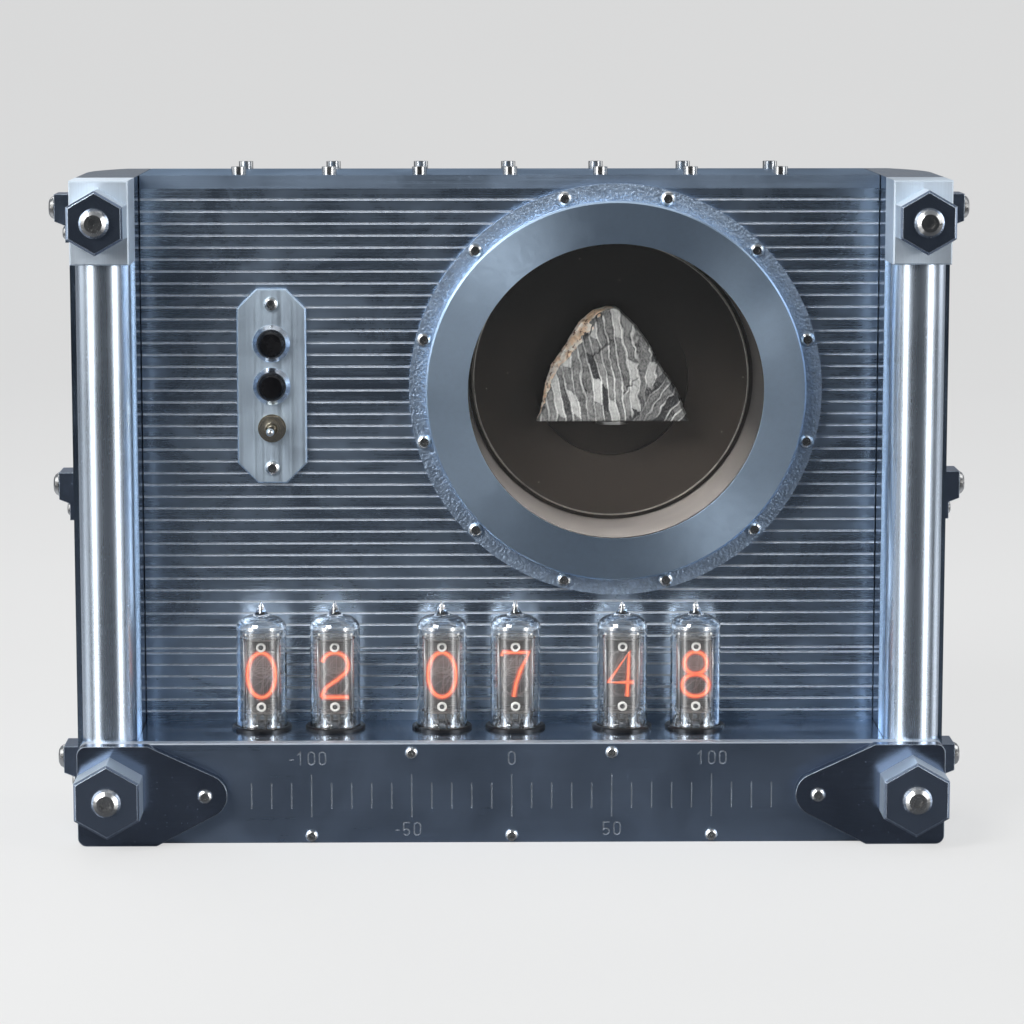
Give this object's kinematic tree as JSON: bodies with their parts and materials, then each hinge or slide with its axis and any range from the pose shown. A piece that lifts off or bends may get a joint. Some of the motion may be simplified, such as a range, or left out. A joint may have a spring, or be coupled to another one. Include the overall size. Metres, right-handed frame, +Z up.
{
  "type": "glow tube clock",
  "caption": "Desk clock with a row of glow tubes on a sill, a grooved metal front and a round porthole that shows a slice of iron meteorite.",
  "frame": {"origin": "bottom centre of the whole clock, on the surface it stands on", "axes": "+X to the clock's right as seen from the front, +Y to the rear, +Z up; the front faces -Y"},
  "size_m": [0.3452, 0.1228, 0.2475],
  "materials": {
    "satin_aluminium": "fine satin",
    "polished_aluminium": "polished",
    "grooved_aluminium": "polished lands with milled grooves",
    "dark_steel": "dark polished",
    "screw_steel": "bright stainless",
    "hammered_aluminium": "hammered",
    "turned_aluminium": "turned, fine circular lines",
    "window_glass": "clear",
    "gasket_rubber": "matt",
    "barrel_paint": "satin taupe",
    "disc_paint": "dark brown",
    "meteoric_iron": "cut, etched face with a rusty crust",
    "plated_brass": "nickel plated",
    "lever_chrome": "bright",
    "button_plastic": "black",
    "ring_plastic": "black",
    "jack_plastic": "black",
    "board": "green laminate",
    "post_brass": "plain",
    "tube_glass": "clear",
    "electrode_metal": "fine wire, lit numeral"
  },
  "bodies": {
    "case": {"scale_plate": "satin_aluminium", "shelf_plate": "polished_aluminium", "bottom_plate": "satin_aluminium", "side_wall_left": "polished_aluminium", "side_wall_right": "polished_aluminium", "front_panel": "grooved_aluminium", "lower_panel": "grooved_aluminium", "top_plate": "polished_aluminium", "rear_plate": "satin_aluminium", "corner_block_left": "polished_aluminium", "corner_block_right": "polished_aluminium", "column_left": "polished_aluminium", "column_right": "polished_aluminium", "gusset_left": "polished_aluminium", "gusset_right": "polished_aluminium", "corner_hexes": "dark_steel", "corner_screws": "screw_steel", "top_screws": "screw_steel", "scale_screws": "screw_steel", "frame_screws": "screw_steel", "flat_screws": "screw_steel", "side_trim_left": "satin_aluminium", "side_trim_right": "satin_aluminium", "side_clamps": "dark_steel", "clamp_screws": "screw_steel", "m3_screws": "screw_steel", "porthole_flange": "hammered_aluminium", "flange_screws": "screw_steel", "porthole_bezel": "turned_aluminium", "porthole_glass": "window_glass", "glass_gasket": "gasket_rubber", "porthole_barrel": "barrel_paint", "back_disc": "disc_paint", "meteorite": "meteoric_iron", "meteorite_pin": "screw_steel", "control_plate": "polished_aluminium", "button_bodies": "plated_brass", "button_nuts": "plated_brass", "toggle_body": "plated_brass", "toggle_nut": "plated_brass", "tube_rings": "ring_plastic", "tube_board": "board", "main_board": "board", "board_posts": "post_brass", "power_jack": "jack_plastic", "tube_1_glass": "tube_glass", "tube_2_glass": "tube_glass", "tube_3_glass": "tube_glass", "tube_4_glass": "tube_glass", "tube_5_glass": "tube_glass", "tube_6_glass": "tube_glass", "tube_1_electrodes": "electrode_metal", "tube_2_electrodes": "electrode_metal", "tube_3_electrodes": "electrode_metal", "tube_4_electrodes": "electrode_metal", "tube_5_electrodes": "electrode_metal", "tube_6_electrodes": "electrode_metal"},
    "upper_button": {"upper_button": "button_plastic"},
    "lower_button": {"lower_button": "button_plastic"},
    "toggle_lever": {"toggle_lever": "lever_chrome"}
  },
  "joints": [
    {"name": "upper_button_press", "type": "slide", "parent": "case", "child": "upper_button", "axis": [0, 1, 0], "range_m": [0, 0.002], "stiffness_N_per_m": 400},
    {"name": "lower_button_press", "type": "slide", "parent": "case", "child": "lower_button", "axis": [0, 1, 0], "range_m": [0, 0.002], "stiffness_N_per_m": 400},
    {"name": "toggle_swing", "type": "hinge", "parent": "case", "child": "toggle_lever", "pos_m": [-0.0895, 0.0007, 0.1498], "axis": [1, 0, 0], "range_deg": [-12, 12]}
  ]
}
